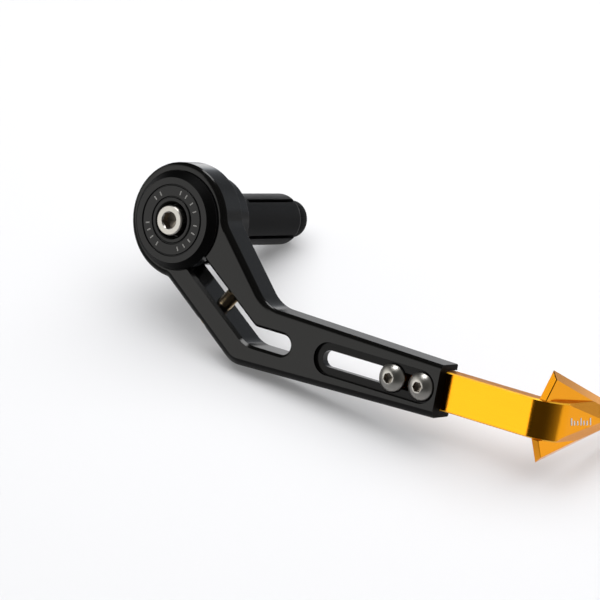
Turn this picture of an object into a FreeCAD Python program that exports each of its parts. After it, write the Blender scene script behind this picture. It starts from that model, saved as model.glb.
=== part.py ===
import FreeCAD, Part
import math
import os

import Sketcher

# Brake lever guard: a turned plug that is wedged into the open end of a handlebar, an arm clamped
# round it, and a flat blade that slides in the arm and ends in an arrow-shaped deflector.
# Own frame: +X forward along the straight leg of the arm, +Y inwards along the handlebar, +Z up.
# The origin is on the axis of the plug, on the face that seats against the end of the bar.

doc = FreeCAD.newDocument("brake_lever_guard")

SIZES = [
    # Stations along the plug, from the bar end outwards
    ("boss_length", 9.9),
    ("turn_gap", 0.1),
    ("plate_thickness", 10.2),
    ("recess_depth", 3.2),
    ("cap_thickness", 6.4),
    # Turned plug
    ("boss_radius", 15.0),
    ("boss_edge", 0.6),
    ("shank_radius", 10.95),
    ("spigot_length", 4.0),
    ("spigot_gap", 0.05),
    ("sleeve_seat", 0.5),
    ("seat_relief", 0.9),
    ("sleeve_radius", 8.7),
    ("sleeve_length", 41.0),
    ("sleeve_bore_radius", 4.6),
    ("sleeve_end_round", 2.2),
    ("sleeve_slot_width", 1.5),
    ("sleeve_slot_length", 29.2),
    ("sleeve_slot_count", 4),
    ("sleeve_slot_turn", 45.0),
    ("sleeve_turn", -13.8),
    ("cone_radius", 6.4),
    ("cone_tip_radius", 4.5),
    ("cone_length", 13.2),
    ("cone_rim_length", 4.2),
    ("cone_rim_bevel", 1.0),
    ("cone_inside", 6.4),
    ("cone_fit", 0.02),
    ("bolt_hole_radius", 3.2),
    # End cap
    ("cap_radius", 16.2),
    ("cap_face_radius", 14.0),
    ("cap_bevel_length", 2.6),
    ("cap_well_radius", 5.6),
    ("cap_well_floor", 1.8),
    ("cap_well_bevel", 0.8),
    ("cap_groove_outer", 11.55),
    ("cap_groove_inner", 7.65),
    ("cap_groove_width", 0.55),
    ("cap_groove_depth", 0.45),
    # Centre bolt, clamp screw and blade screws
    ("bolt_radius", 3.0),
    ("bolt_head_radius", 5.0),
    ("bolt_head_height", 6.0),
    ("bolt_inset", 1.7),
    ("bolt_hex", 5.0),
    ("bolt_hex_depth", 3.0),
    ("screw_radius", 2.5),
    ("clamp_head_radius", 4.25),
    ("clamp_head_height", 5.0),
    ("clamp_length", 16.0),
    ("clamp_hex", 4.0),
    ("clamp_hex_depth", 2.5),
    ("button_radius", 4.75),
    ("button_height", 2.75),
    ("button_rim", 0.4),
    ("button_shoulder_radius", 3.7),
    ("button_shoulder_height", 1.95),
    ("button_flat_radius", 2.2),
    ("button_length", 7.4),
    ("button_hex", 3.0),
    ("button_hex_depth", 1.6),
    ("head_edge", 0.5),
    ("screw_tip", 0.6),
    ("thread_gap", 0.03),
    # Clamp arm: head, sloping leg and straight leg
    ("head_radius", 19.0),
    ("bore_radius", 11.0),
    ("recess_radius", 16.45),
    ("leg_lower_offset", 15.93),
    ("leg_lower_angle", 34.85),
    ("leg_upper_offset", 15.74),
    ("leg_upper_angle", 46.4),
    ("arm_reach", 108.4),
    ("leg_drop", 29.7),
    ("leg_end_height", 17.1),
    ("leg_taper", 1.6),
    ("inner_bend", 12.0),
    ("outer_bend", 9.0),
    ("upper_blend", 8.0),
    ("lower_blend", 3.5),
    ("front_chamfer", 1.4),
    ("back_chamfer", 0.5),
    # Bent slot that lets the head close on the plug
    ("split_offset", 3.95),
    ("split_angle", 34.5),
    ("split_width", 6.5),
    ("split_end", 48.6),
    ("split_inner_bend", 3.0),
    ("split_outer_bend", 10.0),
    ("split_bevel", 0.9),
    ("clamp_station", 30.5),
    ("clamp_seat", 10.9),
    ("clamp_thread_end", 5.9),
    ("clamp_pocket_radius", 4.4),
    ("clamp_hole_radius", 2.75),
    # Straight slot, its ledge and the channel behind it
    ("slot_start", 66.95),
    ("slot_width", 5.4),
    ("ledge_width", 10.6),
    ("ledge_depth", 1.3),
    ("channel_start", 60.0),
    ("channel_corner", 2.5),
    ("slide_gap", 0.1),
    ("channel_side_gap", 0.3),
    # Guard blade and its arrow-shaped deflector
    ("blade_height", 12.5),
    ("blade_thickness", 6.0),
    ("blade_edge", 0.4),
    ("outer_screw", 102.1),
    ("screw_spacing", 11.0),
    ("tail_margin", 4.6),
    ("bend_start", 139.5),
    ("bend_radius", 10.0),
    ("bend_angle", 80.0),
    ("arrow_length", 35.5),
    ("arrow_apex", 4.8),
    ("arrow_root", 9.0),
    ("arrow_half_width", 14.8),
    ("arrow_angle", 18.9),
    ("arrow_rise", 0.7),
    ("wing_thickness", 2.9),
    ("edge_bevel", 2.6),
    ("roof_reach", 18.0),
    ("roof_angle", 15.0),
    ("roof_width", 5.0),
]

sheet = doc.addObject("Spreadsheet::Sheet", "Sizes")
for row, (alias, value) in enumerate(SIZES, start=1):
    sheet.set(f"A{row}", alias)
    sheet.set(f"B{row}", str(value))
    sheet.setAlias(f"B{row}", alias)
doc.recompute()

PIECES = []
FAR = 200.0


def size(alias):
    return float(getattr(sheet, alias))


def cells(expression):
    """Put the sheet's name before each word of an expression that is one of its aliases."""
    words = {alias for alias, value in SIZES}
    out, word = "", ""
    for letter in expression + " ":
        if letter.isalnum() or letter == "_":
            word += letter
            continue
        out += f"Sizes.{word}" if word in words else word
        out += letter
        word = ""
    return out.strip()


def bind(item, prop, expression):
    item.setExpression(prop, cells(expression))


def new_body(label):
    body = doc.addObject("PartDesign::Body", label)
    body.Label = label
    PIECES.append(body)
    return body


def new_sketch(body, role, name, offset="0"):
    """A sketch on one of the body's own origin planes, moved along the plane's normal."""
    sketch = body.newObject("Sketcher::SketchObject", name)
    plane = [item for item in body.Origin.OriginFeatures if item.Role == role][0]
    sketch.AttachmentSupport = (plane, [""])
    sketch.MapMode = "FlatFace"
    if offset != "0":
        bind(sketch, "AttachmentOffset.Base.z", offset)
    return sketch


def place_vertex(sketch, line, end, across, up):
    """Fix a vertex by its two coordinates, each an expression; a leading minus turns it round.

    A sketch numbers its origin as point 1 of item -1, its first axis -1 and its second axis -2.
    """
    for kind, expression, axis in (("DistanceX", across, -2), ("DistanceY", up, -1)):
        if expression == "0":
            sketch.addConstraint(Sketcher.Constraint("PointOnObject", line, end, axis))
            continue
        if expression.startswith("-"):
            expression = expression[1:]
            points = (line, end, -1, 1)
        else:
            points = (-1, 1, line, end)
        index = sketch.addConstraint(Sketcher.Constraint(kind, *points, 1.0))
        bind(sketch, f"Constraints[{index}]", expression)


def closed_outline(sketch, corners):
    """A closed outline of straight lines through corners that are given as expressions."""
    count = len(corners)
    steps = [2 * math.pi * k / count for k in range(count)]
    ring = [FreeCAD.Vector(10 * math.cos(step), 10 * math.sin(step), 0) for step in steps]
    for k in range(count):
        sketch.addGeometry(Part.LineSegment(ring[k], ring[(k + 1) % count]))
    for k in range(count):
        sketch.addConstraint(Sketcher.Constraint("Coincident", k, 2, (k + 1) % count, 1))
    for k, (across, up) in enumerate(corners):
        place_vertex(sketch, k, 1, across, up)
    return sketch


def circle(sketch, radius, across="0", up="0"):
    index = sketch.addGeometry(Part.Circle(FreeCAD.Vector(1, 1, 0), FreeCAD.Vector(0, 0, 1), 1.0))
    place_vertex(sketch, index, 3, across, up)
    rim = sketch.addConstraint(Sketcher.Constraint("Radius", index, 1.0))
    bind(sketch, f"Constraints[{rim}]", radius)


def round_ended_slot(sketch, start, end, drop, width):
    """Two straight sides joined by half circles, along the sketch's first axis."""
    radius, up = size(width) / 2, -size(drop)
    left, right = FreeCAD.Vector(size(start), up, 0), FreeCAD.Vector(size(end), up, 0)
    axis, side = FreeCAD.Vector(0, 0, 1), FreeCAD.Vector(0, radius, 0)
    sketch.addGeometry(Part.ArcOfCircle(Part.Circle(left, axis, radius), math.pi / 2, 3 * math.pi / 2))
    sketch.addGeometry(Part.LineSegment(left - side, right - side))
    sketch.addGeometry(Part.ArcOfCircle(Part.Circle(right, axis, radius), -math.pi / 2, math.pi / 2))
    sketch.addGeometry(Part.LineSegment(right + side, left + side))
    for k in range(4):
        sketch.addConstraint(Sketcher.Constraint("Tangent", k, 2, (k + 1) % 4, 1))
    place_vertex(sketch, 0, 3, start, "-" + drop)
    place_vertex(sketch, 2, 3, end, "-" + drop)
    sketch.addConstraint(Sketcher.Constraint("Equal", 0, 2))
    rim = sketch.addConstraint(Sketcher.Constraint("Radius", 0, radius))
    bind(sketch, f"Constraints[{rim}]", width + " / 2")


def pad(body, sketch, length, midplane=False):
    feature = body.newObject("PartDesign::Pad", sketch.Name + "_pad")
    feature.Profile = sketch
    bind(feature, "Length", length)
    feature.Midplane = midplane
    sketch.Visibility = False
    doc.recompute()
    return feature


def cut(body, sketch, length=None, reverse=False):
    """A pocket of the given depth against the sketch's normal, or right through both ways."""
    before = body.Shape.Volume
    feature = body.newObject("PartDesign::Pocket", sketch.Name + "_cut")
    feature.Profile = sketch
    if length is None:
        feature.Length = FAR
        feature.Midplane = True
    else:
        bind(feature, "Length", length)
        feature.Reversed = reverse
    doc.recompute()
    if not body.Shape.Volume < before - 1e-6:
        raise RuntimeError(f"{feature.Name} removes nothing")
    return feature


def turn(body, sketch):
    feature = body.newObject("PartDesign::Revolution", sketch.Name + "_turned")
    feature.Profile = sketch
    feature.ReferenceAxis = (sketch, ["V_Axis"])
    feature.Angle = 360.0
    doc.recompute()
    return feature


def edges_where(feature, test):
    return [f"Edge{k}" for k, edge in enumerate(feature.Shape.Edges, start=1) if test(edge)]


def corner_edges(feature, sketch, corners):
    """The straight edges that stand on the given corners of a sketch, square to it."""
    place = sketch.getGlobalPlacement()
    normal = place.Rotation.multVec(FreeCAD.Vector(0, 0, 1))
    points = [place.multVec(corner) for corner in corners]

    def stands(edge):
        if edge.Curve.TypeId != "Part::GeomLine" or edge.Curve.Direction.cross(normal).Length > 1e-6:
            return False
        here = edge.Vertexes[0].Point
        return any((here - point).cross(normal).Length < 1e-4 for point in points)

    return edges_where(feature, stands)


def round_edges(body, base, names, radius, label):
    feature = body.newObject("PartDesign::Fillet", label)
    feature.Base = (base, names)
    bind(feature, "Radius", radius)
    doc.recompute()
    return feature


def bevel_edges(body, base, names, width, label):
    feature = body.newObject("PartDesign::Chamfer", label)
    feature.Base = (base, names)
    bind(feature, "Size", width)
    doc.recompute()
    return feature


def flat_rim(station, axis="y"):
    """A test for edges that lie wholly in the plane where the given axis has the given value."""
    def lies(edge):
        box = edge.BoundBox
        low, high = (box.YMin, box.YMax) if axis == "y" else (box.ZMin, box.ZMax)
        return abs(low - station) < 1e-4 and abs(high - station) < 1e-4
    return lies


def hexagon(body, name, across_flats, plane_offset):
    """A hexagon with two of its corners on the sketch's first axis."""
    sketch = new_sketch(body, "XZ_Plane", name, plane_offset)
    corner, half = f"{across_flats} / sqrt(3)", f"{across_flats} / sqrt(12)"
    flat = f"{across_flats} / 2"
    closed_outline(sketch, [
        (corner, "0"), (half, flat), ("-" + half, flat),
        ("-" + corner, "0"), ("-" + half, "-" + flat), (half, "-" + flat)])
    return sketch


# Bar end hub: the arm turns on its shank, its boss seats on the bar, its spigot centres the sleeve.
hub = new_body("bar_end_hub")
profile = new_sketch(hub, "XY_Plane", "hub_profile")
SHANK_END = "boss_length + 2 * turn_gap + plate_thickness - recess_depth"
closed_outline(profile, [
    ("bolt_hole_radius", f"-({SHANK_END})"),
    ("shank_radius - boss_edge", f"-({SHANK_END})"),
    ("shank_radius", f"-({SHANK_END} - boss_edge)"),
    ("shank_radius", "-boss_length"),
    ("boss_radius - boss_edge", "-boss_length"),
    ("boss_radius", "-(boss_length - boss_edge)"),
    ("boss_radius", "-boss_edge"),
    ("boss_radius - boss_edge", "0"),
    ("sleeve_radius + seat_relief", "0"),
    ("sleeve_radius + seat_relief", "-sleeve_seat"),
    ("sleeve_bore_radius - spigot_gap", "-sleeve_seat"),
    ("sleeve_bore_radius - spigot_gap", "spigot_length"),
    ("bolt_hole_radius", "spigot_length")])
turn(hub, profile)

# Expander sleeve: it stands in the boss, is slotted from its free end and is bored to a taper.
sleeve = new_body("expander_sleeve")
profile = new_sketch(sleeve, "XY_Plane", "sleeve_profile")
SLEEVE_END = "sleeve_length"
CONE_SLOPE = "(cone_radius - cone_tip_radius) / (cone_length - cone_rim_length)"
closed_outline(profile, [
    ("sleeve_bore_radius", "-sleeve_seat"),
    ("sleeve_radius", "-sleeve_seat"),
    ("sleeve_radius", SLEEVE_END),
    (f"cone_tip_radius + cone_fit + cone_inside * {CONE_SLOPE}", SLEEVE_END),
    ("sleeve_bore_radius", f"{SLEEVE_END} - (cone_inside - "
     f"(sleeve_bore_radius - cone_tip_radius - cone_fit) / ({CONE_SLOPE}))")])
tube = turn(sleeve, profile)
at_free_end = flat_rim(size("sleeve_length"))
rim = edges_where(tube, lambda edge: at_free_end(edge)
                  and abs(edge.BoundBox.XMax - size("sleeve_radius")) < 1e-3)
tube = round_edges(sleeve, tube, rim, "sleeve_end_round", "sleeve_end")
slit = new_sketch(sleeve, "XY_Plane", "sleeve_slot")
slit.AttachmentOffset = FreeCAD.Placement(
    FreeCAD.Vector(), FreeCAD.Rotation(FreeCAD.Vector(0, 1, 0), size("sleeve_slot_turn")))
bind(slit, "AttachmentOffset.Rotation.Angle", "sleeve_slot_turn * 1 deg")
closed_outline(slit, [
    ("0", f"{SLEEVE_END} - sleeve_slot_length"),
    ("sleeve_radius + 1", f"{SLEEVE_END} - sleeve_slot_length"),
    ("sleeve_radius + 1", f"{SLEEVE_END} + 1"),
    ("0", f"{SLEEVE_END} + 1")])
slot = sleeve.newObject("PartDesign::Pocket", "sleeve_slot_cut")
slot.Profile = slit
bind(slot, "Length", "sleeve_slot_width")
slot.Midplane = True
doc.recompute()
slots = sleeve.newObject("PartDesign::PolarPattern", "sleeve_slots")
slots.Originals = [slot]
slots.Axis = (slit, ["V_Axis"])
slots.Angle = 360.0
bind(slots, "Occurrences", "sleeve_slot_count")
sleeve.Tip = slots
doc.recompute()
sleeve.Placement = FreeCAD.Placement(
    FreeCAD.Vector(), FreeCAD.Rotation(FreeCAD.Vector(0, 1, 0), size("sleeve_turn")))
bind(sleeve, "Placement.Rotation.Angle", "sleeve_turn * 1 deg")

# Cone nut: drawn into the sleeve by the bolt, it spreads the sleeve's four fingers in the bar.
cone = new_body("cone_nut")
profile = new_sketch(cone, "XY_Plane", "cone_profile")
CONE_TIP = f"{SLEEVE_END} - cone_inside"
closed_outline(profile, [
    ("bolt_radius + thread_gap", CONE_TIP),
    ("cone_tip_radius", CONE_TIP),
    ("cone_radius", f"{CONE_TIP} + cone_length - cone_rim_length"),
    ("cone_radius", f"{CONE_TIP} + cone_length - cone_rim_bevel"),
    ("cone_radius - cone_rim_bevel", f"{CONE_TIP} + cone_length"),
    ("bolt_radius + thread_gap", f"{CONE_TIP} + cone_length")])
turn(cone, profile)

# End cap: a turned disc in the recess of the arm, with ring grooves and a well for the bolt head.
cap = new_body("end_cap")
profile = new_sketch(cap, "XY_Plane", "cap_profile")
CAP_FACE = f"({SHANK_END}) + cap_thickness"
groove_corners = []
for ring in ("cap_groove_outer", "cap_groove_inner"):
    groove_corners += [
        (f"{ring} + cap_groove_width / 2", f"-({CAP_FACE})"),
        (ring, f"-({CAP_FACE} - cap_groove_depth)"),
        (f"{ring} - cap_groove_width / 2", f"-({CAP_FACE})")]
closed_outline(profile, [
    ("bolt_hole_radius", f"-({SHANK_END})"),
    ("cap_radius", f"-({SHANK_END})"),
    ("cap_radius", f"-({CAP_FACE} - cap_bevel_length)"),
    ("cap_face_radius", f"-({CAP_FACE})"),
    *groove_corners,
    ("cap_well_radius + cap_well_bevel", f"-({CAP_FACE})"),
    ("cap_well_radius", f"-({CAP_FACE} - cap_well_bevel)"),
    ("cap_well_radius", f"-({SHANK_END} + cap_well_floor)"),
    ("bolt_hole_radius", f"-({SHANK_END} + cap_well_floor)")])
turn(cap, profile)


def socket_screw(label, head_radius, head_height, tip, hex_size, hex_depth, radius, seat):
    """A cap screw along +Y: its head's underside lies `seat` before the origin, its end at `tip`."""
    body = new_body(label)
    outline = new_sketch(body, "XY_Plane", label + "_profile")
    closed_outline(outline, [
        ("0", f"-({seat} + {head_height})"),
        (f"{head_radius} - head_edge", f"-({seat} + {head_height})"),
        (head_radius, f"-({seat} + {head_height} - head_edge)"),
        (head_radius, f"-({seat})"),
        (radius, f"-({seat})"),
        (radius, f"{tip} - screw_tip"),
        (f"{radius} - screw_tip", tip),
        ("0", tip)])
    turn(body, outline)
    socket = hexagon(body, label + "_socket", hex_size, f"{seat} + {head_height}")
    cut(body, socket, hex_depth)
    return body


# Centre bolt: passes through the cap, the hub and the sleeve into the cone nut.
socket_screw("centre_bolt", "bolt_head_radius", "bolt_head_height",
             f"{CONE_TIP} + cone_length - bolt_inset", "bolt_hex", "bolt_hex_depth",
             "bolt_radius", f"{SHANK_END} + cap_well_floor")

# Clamp screw: crosses the bent slot of the arm, square to the sloping leg, and closes it.
clamp = socket_screw("clamp_screw", "clamp_head_radius", "clamp_head_height",
                     "clamp_length - clamp_seat", "clamp_hex", "clamp_hex_depth",
                     "screw_radius", "clamp_seat")
leg_turn = math.radians(size("split_angle"))
along_leg = FreeCAD.Vector(math.cos(leg_turn), 0, -math.sin(leg_turn))
across_leg = FreeCAD.Vector(math.sin(leg_turn), 0, math.cos(leg_turn))
plate_back = size("boss_length") + size("turn_gap")
plate_middle = plate_back + size("plate_thickness") / 2
clamp_axis = along_leg * size("clamp_station") - FreeCAD.Vector(0, plate_middle, 0)
clamp.Placement = FreeCAD.Placement(
    clamp_axis, FreeCAD.Rotation(FreeCAD.Vector(0, 1, 0), across_leg))

# Clamp arm: milled from plate. Its front and back outlines are bevelled, but not its open end.
arm = new_body("clamp_arm")
BACK = "boss_length + turn_gap"
FRONT = f"{BACK} + plate_thickness"
outline = new_sketch(arm, "XZ_Plane", "arm_outline", BACK)
lower, upper = math.radians(-size("leg_lower_angle")), math.radians(-size("leg_upper_angle"))
taper = math.radians(size("leg_taper"))
reach, drop, half_end = size("arm_reach"), size("leg_drop"), size("leg_end_height") / 2


def point_on_leg(offset, angle, along, side):
    """A point of a leg's edge: `offset` off the axis on one side, `along` the edge."""
    return FreeCAD.Vector(math.cos(angle) * along - side * math.sin(angle) * offset,
                          math.sin(angle) * along + side * math.cos(angle) * offset, 0)


def meet(point, angle, other, other_angle):
    """Where two lines in the sketch cross."""
    one = FreeCAD.Vector(math.cos(angle), math.sin(angle), 0)
    two = FreeCAD.Vector(math.cos(other_angle), math.sin(other_angle), 0)
    gap = other - point
    along = (gap.x * two.y - gap.y * two.x) / (one.x * two.y - one.y * two.x)
    return point + one * along


def leave_head(offset):
    """How far along a leg's edge, past its foot, the edge leaves the round head."""
    return math.sqrt(size("head_radius") ** 2 - offset ** 2)


end_top = FreeCAD.Vector(reach, half_end - drop, 0)
end_bottom = FreeCAD.Vector(reach, -half_end - drop, 0)
upper_start = point_on_leg(size("leg_upper_offset"), upper, leave_head(size("leg_upper_offset")), 1)
lower_start = point_on_leg(size("leg_lower_offset"), lower, leave_head(size("leg_lower_offset")), -1)
inner_corner = meet(upper_start, upper, end_top, -taper)
outer_corner = meet(lower_start, lower, end_bottom, taper)
head = Part.Circle(FreeCAD.Vector(), FreeCAD.Vector(0, 0, 1), size("head_radius"))
start_angle = math.atan2(upper_start.y, upper_start.x)
end_angle = math.atan2(lower_start.y, lower_start.x) + 2 * math.pi
outline.addGeometry(Part.ArcOfCircle(head, start_angle, end_angle))
for start, end in ((lower_start, outer_corner), (outer_corner, end_bottom), (end_bottom, end_top),
                   (end_top, inner_corner), (inner_corner, upper_start)):
    outline.addGeometry(Part.LineSegment(start, end))
for a, a_end, b in ((0, 2, 1), (1, 2, 2), (2, 2, 3), (3, 2, 4), (4, 2, 5)):
    outline.addConstraint(Sketcher.Constraint("Coincident", a, a_end, b, 1))
outline.addConstraint(Sketcher.Constraint("Coincident", 5, 2, 0, 1))
outline.addConstraint(Sketcher.Constraint("Coincident", 0, 3, -1, 1))
outline.addConstraint(Sketcher.Constraint("Vertical", 3))
for kind, where, start, expression in (
        ("Radius", (0,), size("head_radius"), "head_radius"),
        ("Distance", (-1, 1, 1), size("leg_lower_offset"), "leg_lower_offset"),
        ("Angle", (1,), lower, "-leg_lower_angle * 1 deg"),
        ("Distance", (-1, 1, 5), size("leg_upper_offset"), "leg_upper_offset"),
        ("Angle", (5,), upper + math.pi, "(180 - leg_upper_angle) * 1 deg"),
        ("Angle", (2,), taper, "leg_taper * 1 deg"),
        ("Angle", (4,), math.pi - taper, "(180 - leg_taper) * 1 deg"),
        ("DistanceX", (-1, 1, 3, 1), reach, "arm_reach"),
        ("DistanceY", (3, 1, -1, 1), drop + half_end, "leg_drop + leg_end_height / 2"),
        ("DistanceY", (3, 2, -1, 1), drop - half_end, "leg_drop - leg_end_height / 2")):
    index = outline.addConstraint(Sketcher.Constraint(kind, *where, start))
    bind(outline, f"Constraints[{index}]", expression)
plate = pad(arm, outline, "plate_thickness")

for label, corner, radius in (("arm_inner_bend", inner_corner, "inner_bend"),
                              ("arm_outer_bend", outer_corner, "outer_bend"),
                              ("arm_upper_blend", upper_start, "upper_blend"),
                              ("arm_lower_blend", lower_start, "lower_blend")):
    plate = round_edges(arm, plate, corner_edges(plate, outline, [corner]), radius, label)


def long_rim(feature, station):
    """The edges of a face of the plate, all but the one across the arm's open end."""
    lies = flat_rim(station)
    return edges_where(feature, lambda edge: lies(edge) and edge.BoundBox.XMin < reach - 1e-4)


front_y = -(plate_back + size("plate_thickness"))
plate = bevel_edges(arm, plate, long_rim(plate, front_y), "front_chamfer", "arm_front_bevel")
plate = bevel_edges(arm, plate, long_rim(plate, -plate_back), "back_chamfer", "arm_back_bevel")

recess = new_sketch(arm, "XZ_Plane", "arm_recess", FRONT)
circle(recess, "recess_radius")
cut(arm, recess, "recess_depth")
bore = new_sketch(arm, "XZ_Plane", "arm_bore", BACK)
circle(bore, "bore_radius")
cut(arm, bore)

# The bent slot runs from the bore down the sloping leg and on into the straight one.
split = new_sketch(arm, "XZ_Plane", "arm_split", BACK)
half_split = size("split_width") / 2
slope = -leg_turn
inside = size("bore_radius") / 2
left_start = point_on_leg(size("split_offset") + half_split, slope, inside, -1)
right_start = point_on_leg(size("split_offset") - half_split, slope, inside, -1)
left_corner = meet(left_start, slope, FreeCAD.Vector(0, -drop - half_split, 0), 0)
right_corner = meet(right_start, slope, FreeCAD.Vector(0, -drop + half_split, 0), 0)
end_x = size("split_end")
end_low = FreeCAD.Vector(end_x, -drop - half_split, 0)
end_high = FreeCAD.Vector(end_x, -drop + half_split, 0)
for start, end in ((right_start, left_start), (left_start, left_corner), (left_corner, end_low),
                   (end_high, right_corner), (right_corner, right_start)):
    split.addGeometry(Part.LineSegment(start, end))
round_end = Part.Circle(FreeCAD.Vector(end_x, -drop, 0), FreeCAD.Vector(0, 0, 1), half_split)
split.addGeometry(Part.ArcOfCircle(round_end, -math.pi / 2, math.pi / 2))
for a, b in ((0, 1), (1, 2), (3, 4), (4, 0)):
    split.addConstraint(Sketcher.Constraint("Coincident", a, 2, b, 1))
split.addConstraint(Sketcher.Constraint("Tangent", 2, 2, 5, 1))
split.addConstraint(Sketcher.Constraint("Tangent", 5, 2, 3, 1))
split.addConstraint(Sketcher.Constraint("Parallel", 1, 4))
split.addConstraint(Sketcher.Constraint("Perpendicular", 0, 1))
split.addConstraint(Sketcher.Constraint("Horizontal", 2))
for kind, where, start, expression in (
        ("Angle", (1,), slope, "-split_angle * 1 deg"),
        ("Distance", (-1, 1, 1), size("split_offset") + half_split, "split_offset + split_width / 2"),
        ("Distance", (-1, 1, 0), inside, "bore_radius / 2"),
        ("Distance", (0,), size("split_width"), "split_width"),
        ("DistanceX", (-1, 1, 5, 3), end_x, "split_end"),
        ("DistanceY", (5, 3, -1, 1), drop, "leg_drop"),
        ("Radius", (5,), half_split, "split_width / 2")):
    index = split.addConstraint(Sketcher.Constraint(kind, *where, start))
    bind(split, f"Constraints[{index}]", expression)
plate = cut(arm, split)
plate = round_edges(arm, plate, corner_edges(plate, split, [right_corner]), "split_inner_bend",
                    "split_upper_bend")
plate = round_edges(arm, plate, corner_edges(plate, split, [left_corner]), "split_outer_bend",
                    "split_lower_bend")


def slot_rim(edge):
    """The slot's edges on the front face, clear of the head's recess and of the outline's bevel."""
    if not flat_rim(front_y)(edge):
        return False
    middle = edge.valueAt((edge.FirstParameter + edge.LastParameter) / 2)
    far_out = math.hypot(middle.x, middle.z) > size("recess_radius") + 0.5
    off_leg = abs(middle.x * math.sin(-slope) + middle.z * math.cos(-slope) + size("split_offset"))
    off_end = abs(middle.z + drop)
    return far_out and middle.x < end_x + half_split + 0.1 and min(off_leg, off_end) < half_split + 1.2


plate = bevel_edges(arm, plate, edges_where(plate, slot_rim), "split_bevel", "split_front_bevel")

# The straight slot has a ledge for the screw heads, and a channel for the blade behind it.
ledge = new_sketch(arm, "XZ_Plane", "arm_ledge", FRONT)
round_ended_slot(ledge, "slot_start", "outer_screw", "leg_drop", "ledge_width")
cut(arm, ledge, "ledge_depth")
through = new_sketch(arm, "XZ_Plane", "arm_slot", BACK)
round_ended_slot(through, "slot_start", "outer_screw", "leg_drop", "slot_width")
cut(arm, through)
channel = new_sketch(arm, "XZ_Plane", "arm_channel", BACK)
closed_outline(channel, [
    ("channel_start", "-(leg_drop - blade_height / 2 - channel_side_gap)"),
    ("channel_start", "-(leg_drop + blade_height / 2 + channel_side_gap)"),
    ("arm_reach + 1", "-(leg_drop + blade_height / 2 + channel_side_gap)"),
    ("arm_reach + 1", "-(leg_drop - blade_height / 2 - channel_side_gap)")])
plate = cut(arm, channel, "blade_thickness + slide_gap", reverse=True)
corners = [channel.Geometry[0].StartPoint, channel.Geometry[0].EndPoint]
plate = round_edges(arm, plate, corner_edges(plate, channel, corners), "channel_corner",
                    "channel_corners")

# The clamp screw's hole: a pocket for the head, a clear hole to the slot, and threads beyond it.
screw_hole = new_sketch(arm, "XZ_Plane", "arm_screw_hole", f"{BACK} + plate_thickness / 2")
seat, thread_end = -size("clamp_seat"), size("clamp_thread_end")
slot_middle = -size("split_offset")
hole_steps = [(0, -FAR / 6), (size("clamp_pocket_radius"), -FAR / 6),
              (size("clamp_pocket_radius"), seat), (size("clamp_hole_radius"), seat),
              (size("clamp_hole_radius"), slot_middle),
              (size("screw_radius") + size("thread_gap"), slot_middle),
              (size("screw_radius") + size("thread_gap"), thread_end), (0, thread_end)]
flat_along = FreeCAD.Vector(math.cos(slope), math.sin(slope), 0)
flat_across = FreeCAD.Vector(-math.sin(slope), math.cos(slope), 0)
hole_points = [flat_along * (size("clamp_station") + off) + flat_across * at for off, at in hole_steps]
for k, point in enumerate(hole_points):
    screw_hole.addGeometry(Part.LineSegment(point, hole_points[(k + 1) % len(hole_points)]))
for k in range(len(hole_points)):
    following = (k + 1) % len(hole_points)
    screw_hole.addConstraint(Sketcher.Constraint("Coincident", k, 2, following, 1))
for k in (1, 3, 5, 7):
    screw_hole.addConstraint(Sketcher.Constraint("Perpendicular", k, k - 1))
for k in (2, 4, 6):
    screw_hole.addConstraint(Sketcher.Constraint("Perpendicular", k, k - 1))
for kind, where, start, expression in (
        ("Angle", (0,), slope, "-split_angle * 1 deg"),
        ("Distance", (-1, 1, 0), FAR / 6, str(FAR / 6)),
        ("Distance", (-1, 1, 7), size("clamp_station"), "clamp_station"),
        ("Distance", (0,), size("clamp_pocket_radius"), "clamp_pocket_radius"),
        ("Distance", (-1, 1, 2), -seat, "clamp_seat"),
        ("Distance", (7, 1, 3), size("clamp_hole_radius"), "clamp_hole_radius"),
        ("Distance", (-1, 1, 4), -slot_middle, "split_offset"),
        ("Distance", (6,), size("screw_radius") + size("thread_gap"), "screw_radius + thread_gap"),
        ("Distance", (-1, 1, 6), thread_end, "clamp_thread_end")):
    index = screw_hole.addConstraint(Sketcher.Constraint(kind, *where, start))
    bind(screw_hole, f"Constraints[{index}]", expression)
before = arm.Shape.Volume
drilled = arm.newObject("PartDesign::Groove", "arm_screw_hole_cut")
drilled.Profile = screw_hole
drilled.ReferenceAxis = (screw_hole, ["Edge8"])
drilled.Angle = 360.0
doc.recompute()
if not arm.Shape.Volume < before - 1e-6:
    raise RuntimeError("the clamp screw's hole removes nothing")

# Guard blade: a flat bar bent inwards near its end, with the arrow-shaped deflector in one piece.
blade = new_body("guard_blade")
bar = new_sketch(blade, "XY_Plane", "blade_plan", "-leg_drop")
BLADE_FRONT = f"{BACK} + blade_thickness"
TAIL = "outer_screw - screw_spacing - tail_margin"
ANGLE = "bend_angle * 1 deg"
OUT_X = f"bend_start + bend_radius * tan({ANGLE} / 2)"
IN_X = f"{OUT_X} - blade_thickness * tan({ANGLE} / 2)"
RUN = f"(arrow_length + bend_radius * tan({ANGLE} / 2))"
closed_outline(bar, [
    (TAIL, f"-({BACK})"),
    (TAIL, f"-({BLADE_FRONT})"),
    (OUT_X, f"-({BLADE_FRONT})"),
    (f"{OUT_X} + {RUN} * cos({ANGLE})", f"{RUN} * sin({ANGLE}) - ({BLADE_FRONT})"),
    (f"{OUT_X} + {RUN} * cos({ANGLE}) - blade_thickness * sin({ANGLE})",
     f"{RUN} * sin({ANGLE}) - ({BLADE_FRONT}) + blade_thickness * cos({ANGLE})"),
    (IN_X, f"-({BACK})")])
strip = pad(blade, bar, "blade_height", midplane=True)
outer_knee = bar.Geometry[2].StartPoint
inner_knee = bar.Geometry[5].StartPoint
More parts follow.
